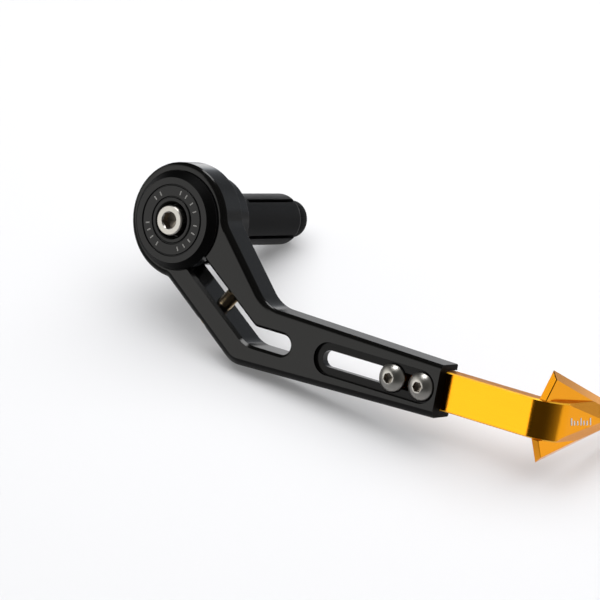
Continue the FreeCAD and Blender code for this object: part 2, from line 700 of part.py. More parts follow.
strip = round_edges(blade, strip, corner_edges(strip, bar, [outer_knee]), "bend_radius", "blade_bend")
strip = round_edges(blade, strip, corner_edges(strip, bar, [inner_knee]),
                    "bend_radius - blade_thickness", "blade_bend_inside")
top_z = size("blade_height") / 2 - drop
at_top, at_foot = flat_rim(top_z, "z"), flat_rim(top_z - size("blade_height"), "z")
rims = edges_where(strip, lambda edge: at_top(edge) or at_foot(edge))
strip = bevel_edges(blade, strip, rims, "blade_edge", "blade_edges")

# The deflector is set out in its own plane, with its first axis along the bent end of the bar.
bend = math.radians(size("bend_angle"))
forward = FreeCAD.Vector(math.cos(bend), math.sin(bend), 0)
outward = FreeCAD.Vector(math.sin(bend), -math.cos(bend), 0)
thick = size("blade_thickness")
bend_end = FreeCAD.Vector(
    size("bend_start") + size("bend_radius") * math.sin(bend),
    size("bend_radius") * (1 - math.cos(bend)) - plate_back - thick, size("arrow_rise") - drop)


def tip_sketch(name, origin, first, normal):
    """A sketch in the blade whose origin, first axis and normal are given in the object's frame."""
    sketch = new_sketch(blade, "XZ_Plane", name)
    doc.recompute()
    own = sketch.Placement
    wanted = FreeCAD.Placement(origin, FreeCAD.Rotation(first, normal.cross(first), normal, "ZXY"))
    sketch.AttachmentOffset = own.inverse().multiply(wanted)
    return sketch


arrow = tip_sketch("arrow_outline", bend_end - outward * thick, forward, outward)
SLOPE = "tan(arrow_angle * 1 deg)"
NOSE = "arrow_half_width - (arrow_length + arrow_apex) * " + SLOPE
closed_outline(arrow, [
    ("-(arrow_root * 0.6)", "-(blade_height / 2 + arrow_rise)"),
    ("-arrow_root", "-(blade_height / 2 + arrow_rise)"),
    ("-arrow_apex", "-arrow_half_width"),
    ("arrow_length", f"-({NOSE})"),
    ("arrow_length", NOSE),
    ("-arrow_apex", "arrow_half_width"),
    ("-arrow_root", "blade_height / 2 - arrow_rise"),
    ("-(arrow_root * 0.6)", "blade_height / 2 - arrow_rise")])
pad(blade, arrow, "wing_thickness")


def side_cut(label, side, angle, start, corners):
    """Cut one side of the deflector along a line that leans to its middle by the given angle."""
    lean = math.radians(size(angle))
    up = FreeCAD.Vector(0, 0, side)
    outwards = forward * math.sin(lean) + up * math.cos(lean)
    sketch = tip_sketch(label, bend_end - outward * thick + start, outwards, outwards.cross(outward))
    closed_outline(sketch, corners)
    cut(blade, sketch)


# The outer edges of the wings are bevelled, and the bar between them is cut to a low roof.
for name, side in (("upper", 1), ("lower", -1)):
    apex = forward * -size("arrow_apex") + FreeCAD.Vector(0, 0, side * size("arrow_half_width"))
    side_cut(f"arrow_{name}_bevel", side, "arrow_angle", apex, [
        ("edge_bevel / wing_thickness", "-1"),
        ("-edge_bevel", "wing_thickness"),
        ("-edge_bevel", "blade_thickness + 1"),
        ("arrow_half_width", "blade_thickness + 1"),
        ("arrow_half_width", "-1")])
    side_cut(f"arrow_{name}_roof", side, "roof_angle", forward * size("roof_reach"), [
        ("roof_width", "wing_thickness"),
        ("-(roof_width / (blade_thickness - wing_thickness))", "blade_thickness + 1"),
        ("arrow_half_width * 2", "blade_thickness + 1"),
        ("arrow_half_width * 2", "wing_thickness")])

holes = new_sketch(blade, "XZ_Plane", "blade_screw_holes", BACK)
circle(holes, "screw_radius + thread_gap", "outer_screw", "-leg_drop")
circle(holes, "screw_radius + thread_gap", "outer_screw - screw_spacing", "-leg_drop")
cut(blade, holes)

# Blade screws: two button heads on the ledge of the slot, screwed into the tail of the blade.
HEAD_SEAT = f"{FRONT} - ledge_depth + slide_gap / 2"


def button_screw(label, across):
    body = doc.addObject("PartDesign::Body", label)
    outline = new_sketch(body, "XY_Plane", label + "_profile")
    closed_outline(outline, [
        ("0", f"-({HEAD_SEAT} + button_height)"),
        ("button_flat_radius", f"-({HEAD_SEAT} + button_height)"),
        ("button_shoulder_radius", f"-({HEAD_SEAT} + button_shoulder_height)"),
        ("button_radius", f"-({HEAD_SEAT} + button_rim)"),
        ("button_radius", f"-({HEAD_SEAT})"),
        ("screw_radius", f"-({HEAD_SEAT})"),
        ("screw_radius", f"button_length - ({HEAD_SEAT}) - screw_tip"),
        ("screw_radius - screw_tip", f"button_length - ({HEAD_SEAT})"),
        ("0", f"button_length - ({HEAD_SEAT})")])
    turn(body, outline)
    socket = hexagon(body, label + "_socket", "button_hex", f"{HEAD_SEAT} + button_height")
    cut(body, socket, "button_hex_depth")
    bind(body, "Placement.Base.x", across)
    bind(body, "Placement.Base.z", "-leg_drop")
    return body


pair = [button_screw("outer_blade_screw", "outer_screw"),
        button_screw("inner_blade_screw", "outer_screw - screw_spacing")]
blade_screws = doc.addObject("Part::Compound", "blade_screws")
blade_screws.Label = "blade_screws"
blade_screws.Links = pair
PIECES.append(blade_screws)
doc.recompute()

# Every object has to be sound before anything is written.
for item in doc.Objects:
    if any(word in state for state in item.State for word in ("Invalid", "Error")):
        raise RuntimeError(f"{item.Name} failed: {item.State}")
os.makedirs("parts", exist_ok=True)
for piece in PIECES:
    shape = piece.Shape
    if shape.isNull() or not shape.isValid() or not shape.Solids:
        raise RuntimeError(f"{piece.Label} has no sound solid")
for piece in PIECES:
    piece.Shape.exportStep(f"parts/{piece.Label}.step")
    print(piece.Label, len(piece.Shape.Solids), round(piece.Shape.Volume, 1))
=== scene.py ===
import math

import bpy
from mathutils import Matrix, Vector


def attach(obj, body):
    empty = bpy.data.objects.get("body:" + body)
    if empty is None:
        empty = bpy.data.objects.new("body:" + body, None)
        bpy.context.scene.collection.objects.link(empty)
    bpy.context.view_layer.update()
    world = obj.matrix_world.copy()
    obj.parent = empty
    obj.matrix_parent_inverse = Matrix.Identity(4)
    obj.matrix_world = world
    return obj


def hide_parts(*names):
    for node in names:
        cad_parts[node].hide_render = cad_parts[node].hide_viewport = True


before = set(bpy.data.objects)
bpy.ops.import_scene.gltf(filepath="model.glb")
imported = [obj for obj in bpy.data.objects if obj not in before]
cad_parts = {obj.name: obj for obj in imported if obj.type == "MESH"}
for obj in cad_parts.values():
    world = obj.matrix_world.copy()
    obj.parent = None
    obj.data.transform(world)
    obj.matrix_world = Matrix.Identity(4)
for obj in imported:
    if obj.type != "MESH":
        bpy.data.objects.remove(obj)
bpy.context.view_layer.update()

# Camera. A long lens looks along the head of the arm from the front right, a little from above,
# and leans so that the straight leg of the arm runs down to the right.
camera_data = bpy.data.cameras.new("camera")
camera_data.lens = 207.9
camera_data.sensor_width = 36.0
camera = bpy.data.objects.new("camera", camera_data)
camera.location = (0.64261, -0.93955, 0.15559)
camera.rotation_euler = (math.radians(81.023), math.radians(-10.628), math.radians(34.362))
bpy.context.collection.objects.link(camera)
bpy.context.scene.camera = camera

# Table. A white sheet that the guard lies on: it touches the head of the arm, the arrow and the
# plug. It shows only from above, so that the guard can be looked at from below as well.
table_up = Vector((0.10, -0.44, 0.89)).normalized()
lowest = min(table_up.dot(vertex.co)
             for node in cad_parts.values() for vertex in node.data.vertices)
bpy.ops.object.select_all(action="DESELECT")
bpy.ops.mesh.primitive_plane_add(
    size=1.2, location=table_up * lowest, rotation=table_up.to_track_quat("Z", "Y").to_euler())
table = bpy.context.object
table.name = "table"
bpy.ops.object.transform_apply(location=True, rotation=True, scale=True)

sheet = bpy.data.materials.new("white_sheet")
sheet.use_nodes = True
tree = sheet.node_tree
tree.nodes.clear()
path = tree.nodes.new("ShaderNodeLightPath")
spot = tree.nodes.new("ShaderNodeTexCoord")
apart = tree.nodes.new("ShaderNodeSeparateXYZ")
tree.links.new(spot.outputs["Object"], apart.inputs[0])
over, along = apart.outputs["X"], apart.outputs["Y"]


def combined(operation, one, other):
    """The sum, product or larger one of two values, the second of which may be a plain number."""
    node = tree.nodes.new("ShaderNodeMath")
    node.operation = operation
    tree.links.new(one, node.inputs[0])
    if isinstance(other, float):
        node.inputs[1].default_value = other
    else:
        tree.links.new(other, node.inputs[1])
    return node.outputs[0]


def soft_step(value, start, end, least=0.0, most=1.0):
    """`least` where the value is on the side of `start`, `most` from `end` on, smooth between."""
    ramp = tree.nodes.new("ShaderNodeMapRange")
    ramp.interpolation_type = "SMOOTHSTEP"
    ramp.inputs["From Min"].default_value = start
    ramp.inputs["From Max"].default_value = end
    ramp.inputs["To Min"].default_value = least
    ramp.inputs["To Max"].default_value = most
    tree.links.new(value, ramp.inputs["Value"])
    return ramp.outputs[0]


# The white of the sheet, which shines a little of itself to the camera and in mirrors. In mirrors
# only its far left corner glows brighter, a painted reflection. Places on the sheet are in metres.
mirror_ray = path.outputs["Is Glossy Ray"]
seen = combined("MAXIMUM", path.outputs["Is Camera Ray"], mirror_ray)
# Painted reflection: the far left corner of the sheet glows in mirrors, though no lamp is there.
painted_glow_corner = combined("MULTIPLY", soft_step(over, -0.05, -0.11, 0.0, 0.9),
                         soft_step(along, 0.12, 0.17))
paper = tree.nodes.new("ShaderNodeBsdfDiffuse")
paper.inputs["Color"].default_value = (0.62, 0.62, 0.63, 1)
glow = tree.nodes.new("ShaderNodeEmission")
shine = combined("ADD", combined("MULTIPLY", seen, 0.14),
                 combined("MULTIPLY", painted_glow_corner, mirror_ray))
tree.links.new(shine, glow.inputs["Strength"])
lit = tree.nodes.new("ShaderNodeAddShader")
tree.links.new(paper.outputs[0], lit.inputs[0])
tree.links.new(glow.outputs[0], lit.inputs[1])

# Painted shade: in mirrors only, four places on the sheet are drawn dim, for a room dark all round:
# at the left of the head, across the middle, in front of the guard, and at the far right.
at_left = combined("MULTIPLY", soft_step(over, -0.015, -0.05, 0.0, 0.8), soft_step(along, 0.09, 0.04))
band = combined("MULTIPLY", soft_step(along, 0.002, 0.054, 0.0, 0.42),
                soft_step(along, 0.094, 0.134, 1.0, 0.12))
in_middle = combined("MULTIPLY", band, soft_step(over, 0.17, 0.03, 0.25, 1.0))
in_front = soft_step(along, -0.004, -0.036, 0.0, 0.65)
far_right = combined("MULTIPLY", soft_step(over, 0.05, 0.12, 0.0, 0.52), soft_step(along, 0.11, 0.18))
painted_shade_in_mirrors = at_left
for painted_dim_place in (in_middle, in_front, far_right):
    painted_shade_in_mirrors = combined("MAXIMUM", painted_shade_in_mirrors, painted_dim_place)
unlit = tree.nodes.new("ShaderNodeEmission")
unlit.inputs["Strength"].default_value = 0.0
reflected = tree.nodes.new("ShaderNodeMixShader")
# The painted shade turns the sheet black in mirrors, most where the dim places lie.
tree.links.new(combined("MULTIPLY", painted_shade_in_mirrors, mirror_ray), reflected.inputs[0])
tree.links.new(lit.outputs[0], reflected.inputs[1])
tree.links.new(unlit.outputs[0], reflected.inputs[2])
clear = tree.nodes.new("ShaderNodeBsdfTransparent")
side = tree.nodes.new("ShaderNodeNewGeometry")
one_sided = tree.nodes.new("ShaderNodeMixShader")
tree.links.new(side.outputs["Backfacing"], one_sided.inputs[0])
tree.links.new(reflected.outputs[0], one_sided.inputs[1])
tree.links.new(clear.outputs[0], one_sided.inputs[2])
out = tree.nodes.new("ShaderNodeOutputMaterial")
tree.links.new(one_sided.outputs[0], out.inputs["Surface"])
table.data.materials.append(sheet)

# Light. A wide screen over the table gives the soft shadows, and a small bright box in its middle
# is what the edges mirror. Both hang at the same distance from the middle of the guard.
guard_middle = Vector((0.04, -0.01, -0.02))
lamp_distance = 0.8
for name, direction, width, length, energy, in_mirrors in (
        ("overhead_box", (-0.09, -0.375, 0.922), 0.30, 0.20, 2.0, True),
        ("overhead_screen", (0.10, -0.22, 0.95), 1.40, 1.40, 14.6, False)):
    towards = Vector(direction).normalized()
    lamp_data = bpy.data.lights.new(name, "AREA")
    lamp_data.shape = "RECTANGLE"
    lamp_data.size = width
    lamp_data.size_y = length
    lamp_data.energy = energy
    lamp = bpy.data.objects.new(name, lamp_data)
    lamp.location = guard_middle + towards * lamp_distance
    lamp.rotation_euler = towards.to_track_quat("Z", "Y").to_euler()
    lamp.visible_glossy = in_mirrors
    lamp.visible_diffuse = not in_mirrors
    bpy.context.collection.objects.link(lamp)

# Room. Dark but for a white card at the left, which the front of the arm and the flat of the blade
# mirror, and four more soft lights: behind the guard, at its far left, at its side and its right.
world = bpy.data.worlds.new("studio")
bpy.context.scene.world = world
world.use_nodes = True
tree = world.node_tree
tree.nodes.clear()
where = tree.nodes.new("ShaderNodeTexCoord")


def edge_of_light(direction, start, end):
    """A soft edge of a light: 0 at `start`, 1 at `end`, measured along a direction of view."""
    measured = tree.nodes.new("ShaderNodeVectorMath")
    measured.operation = "DOT_PRODUCT"
    measured.inputs[1].default_value = direction
    tree.links.new(where.outputs["Generated"], measured.inputs[0])
    return soft_step(measured.outputs["Value"], start, end)


card = combined("MULTIPLY", combined("MULTIPLY", edge_of_light((-0.9397, 0.342, 0), -0.02, 0.07),
                                     edge_of_light((0, 0, -1), -0.60, -0.40)),
                edge_of_light((0, -1, 0), -0.25, 0.8))
behind = combined("MULTIPLY", edge_of_light((0, 1, 0), 0.2, 0.7),
                  edge_of_light((0, 0, -1), -0.75, -0.45))
far_left = combined("MULTIPLY", combined("MULTIPLY", edge_of_light((0, 1, 0), 0.5, 0.75),
                                         edge_of_light((0, 0, -1), -0.48, -0.34)),
                    edge_of_light((-1, 0, 0), 0.25, 0.5))
at_side = edge_of_light((1, 0, 0), -0.35, 0.05)
at_right = combined("MULTIPLY", edge_of_light((1, 0, 0), 0.0, 0.9),
                    edge_of_light((0, 1, 0), -0.9, 0.5))
mirrored = combined("MULTIPLY", card, 1.8)
for source, level in ((behind, 0.45), (far_left, 1.8), (at_side, 0.035), (at_right, 0.35)):
    mirrored = combined("ADD", mirrored, combined("MULTIPLY", source, level))
darkest = 0.015
mirrored = combined("ADD", mirrored, darkest)


def blended_colour(tree, share, one, other):
    """A colour from `one`, where the share is 0, to `other`, where it is 1."""
    blend = tree.nodes.new("ShaderNodeMix")
    blend.data_type = "RGBA"
    ends = [socket for socket in blend.inputs if socket.type == "RGBA"]
    ends[0].default_value = (*one, 1)
    ends[1].default_value = (*other, 1)
    tree.links.new(share, blend.inputs[0])
    return next(socket for socket in blend.outputs if socket.type == "RGBA")


# Mirrors show warm light in front and cooler light behind; matt surfaces get an even fill, and the
# camera sees plain white past the table.
tint = blended_colour(tree, edge_of_light((0, 1, 0), 0.0, 0.6),
                      (1.0, 0.99, 0.96), (0.91, 0.96, 1.03))
ambient = tree.nodes.new("ShaderNodeBackground")
tree.links.new(tint, ambient.inputs["Color"])
tree.links.new(mirrored, ambient.inputs["Strength"])
fill = tree.nodes.new("ShaderNodeBackground")
fill.inputs["Color"].default_value = (0.97, 0.98, 1.0, 1)
fill.inputs["Strength"].default_value = 0.26
white = tree.nodes.new("ShaderNodeBackground")
white.inputs["Color"].default_value = (1, 1, 1, 1)
white.inputs["Strength"].default_value = 1.0
path = tree.nodes.new("ShaderNodeLightPath")
lighting = tree.nodes.new("ShaderNodeMixShader")
tree.links.new(path.outputs["Is Diffuse Ray"], lighting.inputs[0])
tree.links.new(ambient.outputs[0], lighting.inputs[1])
tree.links.new(fill.outputs[0], lighting.inputs[2])
shown = tree.nodes.new("ShaderNodeMixShader")
tree.links.new(path.outputs["Is Camera Ray"], shown.inputs[0])
tree.links.new(lighting.outputs[0], shown.inputs[1])
tree.links.new(white.outputs[0], shown.inputs[2])
out = tree.nodes.new("ShaderNodeOutputWorld")
tree.links.new(shown.outputs[0], out.inputs["Surface"])
bpy.context.scene.view_settings.view_transform = "Standard"


# Clamp arm. Black anodised aluminium, milled to its outline from 10 mm plate with an upright
# cutter, whose fine marks run across the edges; its corners are broken by hand before anodising.
# The sunk ledge of the straight slot is plainer, and its walls and the arm's open end are dull.
MM = 0.001


def metal_finish(name, color, metallic, roughness, stretch, grain, relief, specular=0.5, milled=None):
    """A machined metal: fine marks, long where `stretch` is small, show in its gloss and relief.

    `relief` is the marks' height in mm. A coarse cloud varies the colour a little. `milled` gives
    an axis and a factor: faces along that axis are that much rougher than the rest.
    """
    material = bpy.data.materials.new(name)
    material.use_nodes = True
    nodes, links = material.node_tree.nodes, material.node_tree.links
    shader = nodes["Principled BSDF"]
    shader.inputs["Metallic"].default_value = metallic
    shader.inputs["Specular IOR Level"].default_value = specular
    place = nodes.new("ShaderNodeTexCoord")
    along = nodes.new("ShaderNodeMapping")
    along.inputs["Scale"].default_value = stretch
    links.new(place.outputs["Object"], along.inputs["Vector"])
    marks = nodes.new("ShaderNodeTexNoise")
    marks.inputs["Scale"].default_value = grain
    marks.inputs["Detail"].default_value = 5.0
    links.new(along.outputs[0], marks.inputs["Vector"])
    cloud = nodes.new("ShaderNodeTexNoise")
    cloud.inputs["Scale"].default_value = 60.0
    cloud.inputs["Detail"].default_value = 3.0
    links.new(place.outputs["Object"], cloud.inputs["Vector"])
    darker = [part * 0.9 for part in color]
    lighter = [min(1.0, part * 1.08) for part in color]
    tone = blended_colour(material.node_tree, cloud.outputs["Fac"], darker, lighter)
    links.new(tone, shader.inputs["Base Color"])
    both = nodes.new("ShaderNodeMath")
    both.operation = "MULTIPLY"
    links.new(marks.outputs["Fac"], both.inputs[0])
    links.new(cloud.outputs["Fac"], both.inputs[1])
    spread = nodes.new("ShaderNodeMapRange")
    spread.inputs["From Min"].default_value = 0.1
    spread.inputs["From Max"].default_value = 0.4
    spread.inputs["To Min"].default_value = roughness * 0.88
    spread.inputs["To Max"].default_value = roughness * 1.12
    links.new(both.outputs[0], spread.inputs["Value"])
    gloss = spread.outputs[0]
    if milled:
        axis, factor = milled
        facing = nodes.new("ShaderNodeVectorMath")
        facing.operation = "DOT_PRODUCT"
        facing.inputs[1].default_value = axis
        links.new(place.outputs["Normal"], facing.inputs[0])
        either_way = nodes.new("ShaderNodeMath")
        either_way.operation = "ABSOLUTE"
        links.new(facing.outputs["Value"], either_way.inputs[0])
        coarse = nodes.new("ShaderNodeMapRange")
        coarse.inputs["From Min"].default_value = 0.75
        coarse.inputs["From Max"].default_value = 0.9
        coarse.inputs["To Min"].default_value = 1.0
        coarse.inputs["To Max"].default_value = factor
        links.new(either_way.outputs[0], coarse.inputs["Value"])
        rougher = nodes.new("ShaderNodeMath")
        rougher.operation = "MULTIPLY"
        links.new(gloss, rougher.inputs[0])
        links.new(coarse.outputs[0], rougher.inputs[1])
        gloss = rougher.outputs[0]
    links.new(gloss, shader.inputs["Roughness"])
    bump = nodes.new("ShaderNodeBump")
    bump.inputs["Strength"].default_value = 0.3
    bump.inputs["Distance"].default_value = relief * MM
    links.new(marks.outputs["Fac"], bump.inputs["Height"])
    links.new(bump.outputs[0], shader.inputs["Normal"])
    return material


def choose(piece):
    """Select one piece alone, for the operators that follow."""
    bpy.ops.object.select_all(action="DESELECT")
    piece.select_set(True)
    bpy.context.view_layer.objects.active = piece


def apply_modifier(piece, kind, **settings):
    """Give a piece one modifier and make its result the piece's own mesh."""
    choose(piece)
    modifier = piece.modifiers.new(kind.lower(), kind)
    for name, value in settings.items():
        setattr(modifier, name, value)
    bpy.ops.object.modifier_apply(modifier=modifier.name)


def break_edges(piece, width, angle=24.0):
    """Round every sharp edge by the same small width, and shade the curved faces smooth."""
    apply_modifier(piece, "BEVEL", width=width * MM, segments=2, limit_method="ANGLE",
                   angle_limit=math.radians(angle), use_clamp_overlap=True)
    bpy.ops.object.shade_smooth()
    apply_modifier(piece, "WEIGHTED_NORMAL", mode="FACE_AREA", weight=50, keep_sharp=False)


def from_solid(node, name):
    """A node's mesh as a piece of its own: one closed skin, with each flat face in one piece."""
    piece = bpy.data.objects.new(name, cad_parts[node].data.copy())
    piece.data.name = name
    bpy.context.collection.objects.link(piece)
    piece.data.materials.clear()
    choose(piece)
    bpy.ops.mesh.customdata_custom_splitnormals_clear()
    bpy.ops.object.mode_set(mode="EDIT")
    bpy.ops.mesh.select_all(action="SELECT")
    bpy.ops.mesh.remove_doubles(threshold=0.002 * MM)
    bpy.ops.mesh.dissolve_limited(angle_limit=math.radians(0.4))
    bpy.ops.object.mode_set(mode="OBJECT")
    return piece


black_milled = metal_finish("black_milled", (0.0030, 0.0029, 0.0027), 0.0, 0.14, (1, 0.04, 1),
                            2600.0, 0.005, specular=0.24)
black_bored = metal_finish("black_bored", (0.0028, 0.0027, 0.0026), 0.0, 0.22, (1, 1, 1),
                           2400.0, 0.006, specular=0.13)
dull_black_and_groove_shade = metal_finish("dull_black_and_groove_shade", (0.0012, 0.0012, 0.0012), 0.0, 0.45, (1, 1, 1),
                          2200.0, 0.010, specular=0.05)
arm = from_solid("clamp_arm", "arm")
break_edges(arm, 0.12)
for finish in (black_milled, black_bored, dull_black_and_groove_shade):
    arm.data.materials.append(finish)
straight_leg_z = -29.7
slot_half_width = 5.5
slot_start, slot_end = 55, 110
ledge_depth = 1.3
open_end = 106
arm_front = min(vertex.co.y for vertex in arm.data.vertices)
for polygon in arm.data.polygons:
    middle, deep = polygon.center / MM, (polygon.center.y - arm_front) / MM
    in_slot = slot_start < middle.x < slot_end and abs(middle.z - straight_leg_z) < slot_half_width
    if in_slot and 0.002 < deep < ledge_depth + 0.05:
        polygon.material_index = 1 if deep > ledge_depth - 0.05 else 2
    if middle.x > open_end and polygon.normal.x > 0.95:
        polygon.material_index = 2
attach(arm, "arm")
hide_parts("clamp_arm")

# Bar end hub. Turned black aluminium: the arm is clamped on its shank, behind it a boss seats on
# the cut end of the handlebar, and a spigot centres the sleeve.
black_turned = metal_finish("black_turned", (0.0030, 0.0030, 0.0032), 0.0, 0.17, (1, 1, 1), 3200.0,
                            0.005, specular=0.24)
hub = from_solid("bar_end_hub", "hub")
break_edges(hub, 0.15)
hub.data.materials.append(black_turned)
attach(hub, "root")
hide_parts("bar_end_hub")

# Expander sleeve. Black aluminium tube, turned, bored to a taper at its free end and sawn into
# four fingers, which spread in the handlebar when the bolt is tightened.
black_sawn = metal_finish("black_sawn", (0.004, 0.004, 0.0042), 0.0, 0.38, (1, 1, 1), 2200.0, 0.012,
                          specular=0.08)
sleeve = from_solid("expander_sleeve", "sleeve")
break_edges(sleeve, 0.05, angle=50.0)
sleeve.data.materials.append(black_sawn)
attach(sleeve, "root")
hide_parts("expander_sleeve")


# Cone nut. Black aluminium cone, turned, with a knurled rim and an M6 thread; the bolt draws it
# into the sleeve. Its end shows past the four fingers.
def turned(name, steps, sides=96):
    """A lathe piece round the Y axis: one ring, extruded and resized through (radius, y) in mm.

    Where the last step is the first one again the piece has a bore, otherwise its ends are filled.
    """
    bpy.ops.object.select_all(action="DESELECT")
    bpy.ops.mesh.primitive_circle_add(
        vertices=sides, radius=steps[0][0] * MM, location=(0, steps[0][1] * MM, 0),
        rotation=(math.radians(90), 0, 0))
    piece = bpy.context.object
    piece.name = piece.data.name = name
    bpy.ops.object.transform_apply(location=True, rotation=True, scale=True)
    bpy.ops.object.mode_set(mode="EDIT")
    bpy.ops.mesh.select_all(action="SELECT")
    for (radius, station), (next_radius, next_station) in zip(steps, steps[1:]):
        bpy.ops.mesh.extrude_edges_move(
            TRANSFORM_OT_translate={"value": (0, (next_station - station) * MM, 0)})
        scale = next_radius / radius
        bpy.ops.transform.resize(value=(scale, 1, scale), center_override=(0, next_station * MM, 0))
    bpy.ops.mesh.select_all(action="SELECT")
    bpy.ops.mesh.remove_doubles(threshold=0.001 * MM)
    if steps[0] != steps[-1]:
        bpy.ops.mesh.fill_holes(sides=0)
    bpy.ops.mesh.normals_make_consistent(inside=False)
    bpy.ops.object.mode_set(mode="OBJECT")
    return piece


def knurl(piece, radius, low, high, depth):
    """Straight knurling: every other lengthwise row of the rim is drawn in by the depth."""
    choose(piece)
    bpy.ops.object.mode_set(mode="EDIT")
    bpy.ops.mesh.select_all(action="DESELECT")
    bpy.ops.object.mode_set(mode="OBJECT")
    close = 0.001 * MM
    rim = [vertex for vertex in piece.data.vertices
           if abs(math.hypot(vertex.co.x, vertex.co.z) - radius * MM) < close
           and low * MM - close < vertex.co.y < high * MM + close]
    sides = sum(1 for vertex in rim if abs(vertex.co.y - high * MM) < close)
    for vertex in rim:
        row = round(math.atan2(vertex.co.z, vertex.co.x) / (2 * math.pi) * sides)
        vertex.select = row % 2 == 0
    bpy.ops.object.mode_set(mode="EDIT")
    bpy.ops.mesh.select_mode(type="VERT")
    scale = (radius - depth) / radius
    bpy.ops.transform.resize(value=(scale, 1, scale), center_override=(0, 0, 0))
    bpy.ops.object.mode_set(mode="OBJECT")


def wind_thread(piece, root, crest, pitch, start, end, base=0.76, blunt=0.22):
    """A V thread on the Y axis: a wire with a blunt edge is wound from start to end and joined on.

    `base` is the wire's width at the root and `blunt` its width at the crest, by the pitch.
    """
    bpy.ops.object.select_all(action="DESELECT")
    bpy.ops.mesh.primitive_plane_add(size=1.0)
    wire = bpy.context.object
    wire.data.materials.append(piece.data.materials[0])
    bpy.ops.object.mode_set(mode="EDIT")
    bpy.ops.mesh.select_all(action="SELECT")
    bpy.ops.mesh.delete(type="ONLY_FACE")
    bpy.ops.mesh.select_all(action="SELECT")
    bpy.ops.transform.resize(value=(abs(crest - root) * MM, base * pitch * MM, 1))
    first_turn = (start + pitch / 2) * MM
    bpy.ops.transform.translate(value=((root + crest) / 2 * MM, first_turn, 0))
    bpy.ops.mesh.select_all(action="DESELECT")
    bpy.ops.object.mode_set(mode="OBJECT")
    for vertex in wire.data.vertices:
        vertex.select = abs(vertex.co.x - crest * MM) < 1e-7
    bpy.ops.object.mode_set(mode="EDIT")
    bpy.ops.transform.resize(value=(1, blunt, 1), center_override=(0, first_turn, 0))
    bpy.ops.object.mode_set(mode="OBJECT")
    turns = max(1, round((end - start) / pitch - 1))
    apply_modifier(wire, "SCREW", axis="Y", angle=2 * math.pi, screw_offset=pitch * MM,
                   iterations=turns, steps=24, render_steps=24, use_merge_vertices=False)
    choose(wire)
    bpy.ops.object.mode_set(mode="EDIT")
    bpy.ops.mesh.select_all(action="SELECT")
    bpy.ops.mesh.fill_holes(sides=0)
    bpy.ops.mesh.select_all(action="SELECT")
    bpy.ops.mesh.normals_make_consistent(inside=False)
    bpy.ops.object.mode_set(mode="OBJECT")
    wire.select_set(True)
    piece.select_set(True)
    bpy.context.view_layer.objects.active = piece
    bpy.ops.object.join()


nut = turned("cone_nut_turned", [
    (3.0, 34.6), (4.5, 34.6), (6.4, 43.6), (6.4, 46.9), (5.5, 47.8), (3.5, 47.8), (3.0, 47.3),
    (3.0, 34.6)], sides=120)
knurl(nut, 6.4, 43.6, 46.9, 0.16)
break_edges(nut, 0.06)
nut.data.materials.append(black_sawn)
wind_thread(nut, 3.06, 2.62, 1.0, 42.5, 47.4)
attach(nut, "root")
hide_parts("cone_nut")

# End cap. Black aluminium disc, turned: a dull bevelled rim, two fine ring grooves and a well for
# the head of the bolt, with plain marks in bare metal between the grooves.
cap_face, face_radius, cap_radius = -23.5, 14.0, 16.2
groove_floor = -23.05
cap = turned("cap", [
    (3.2, -17.1), (cap_radius, -17.1), (cap_radius, -20.9), (face_radius, cap_face),
    (11.83, cap_face), (11.68, groove_floor), (11.42, groove_floor), (11.27, cap_face),
    (7.93, cap_face), (7.78, groove_floor), (7.52, groove_floor), (7.37, cap_face),
    (6.3, cap_face), (5.6, -22.75), (5.6, -18.9), (3.2, -18.9), (3.2, -17.1)], sides=144)
break_edges(cap, 0.07)
cap.data.materials.append(black_turned)
cap.data.materials.append(dull_black_and_groove_shade)
for polygon in cap.data.polygons:
    reach = math.hypot(polygon.center.x, polygon.center.z) / MM
    if face_radius < reach < cap_radius - 0.1 and 0.4 < -polygon.normal.y < 0.9:
        polygon.material_index = 1
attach(cap, "root")
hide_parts("end_cap")


def small_bar(size, turned_by, place):
    """One bar of the given size, turned about its middle and then put in its place, all in mm."""
    bpy.ops.object.select_all(action="DESELECT")
    bpy.ops.mesh.primitive_cube_add(size=1.0)
    one_bar = bpy.context.object
    one_bar.scale = Vector(size) * MM
    one_bar.rotation_euler = turned_by
    one_bar.location = Vector(place) * MM
    bpy.ops.object.transform_apply(location=True, rotation=True, scale=True)
    return one_bar


def joined(bars, name):
    """The bars as one piece."""
    choose(bars[0])
    for one_bar in bars[1:]:
        one_bar.select_set(True)
    bpy.ops.object.join()
    bars[0].name = bars[0].data.name = name
    return bars[0]


bare_metal = metal_finish("bare_metal", (0.27, 0.265, 0.255), 0.4, 0.4, (1, 1, 1), 3000.0, 0.008)
ring_radius = 9.6
marks = []
for degrees in (144, 129, 80, 65, 46, 29, 2, -14, -31, -47, -63, -115, -133, -149, -163):
    turn = math.radians(degrees)
    marks.append(small_bar((1.5, 0.1, 0.42), (0, -turn, 0), (
        ring_radius * math.cos(turn), cap_face + 0.035, ring_radius * math.sin(turn))))
    bpy.ops.object.mode_set(mode="EDIT")
    bpy.ops.mesh.select_all(action="SELECT")
    bpy.ops.mesh.bevel(offset=0.03 * MM, segments=1)
    bpy.ops.object.mode_set(mode="OBJECT")
cap_marks = joined(marks, "cap_marks")
cap_marks.data.materials.append(bare_metal)
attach(cap_marks, "root")


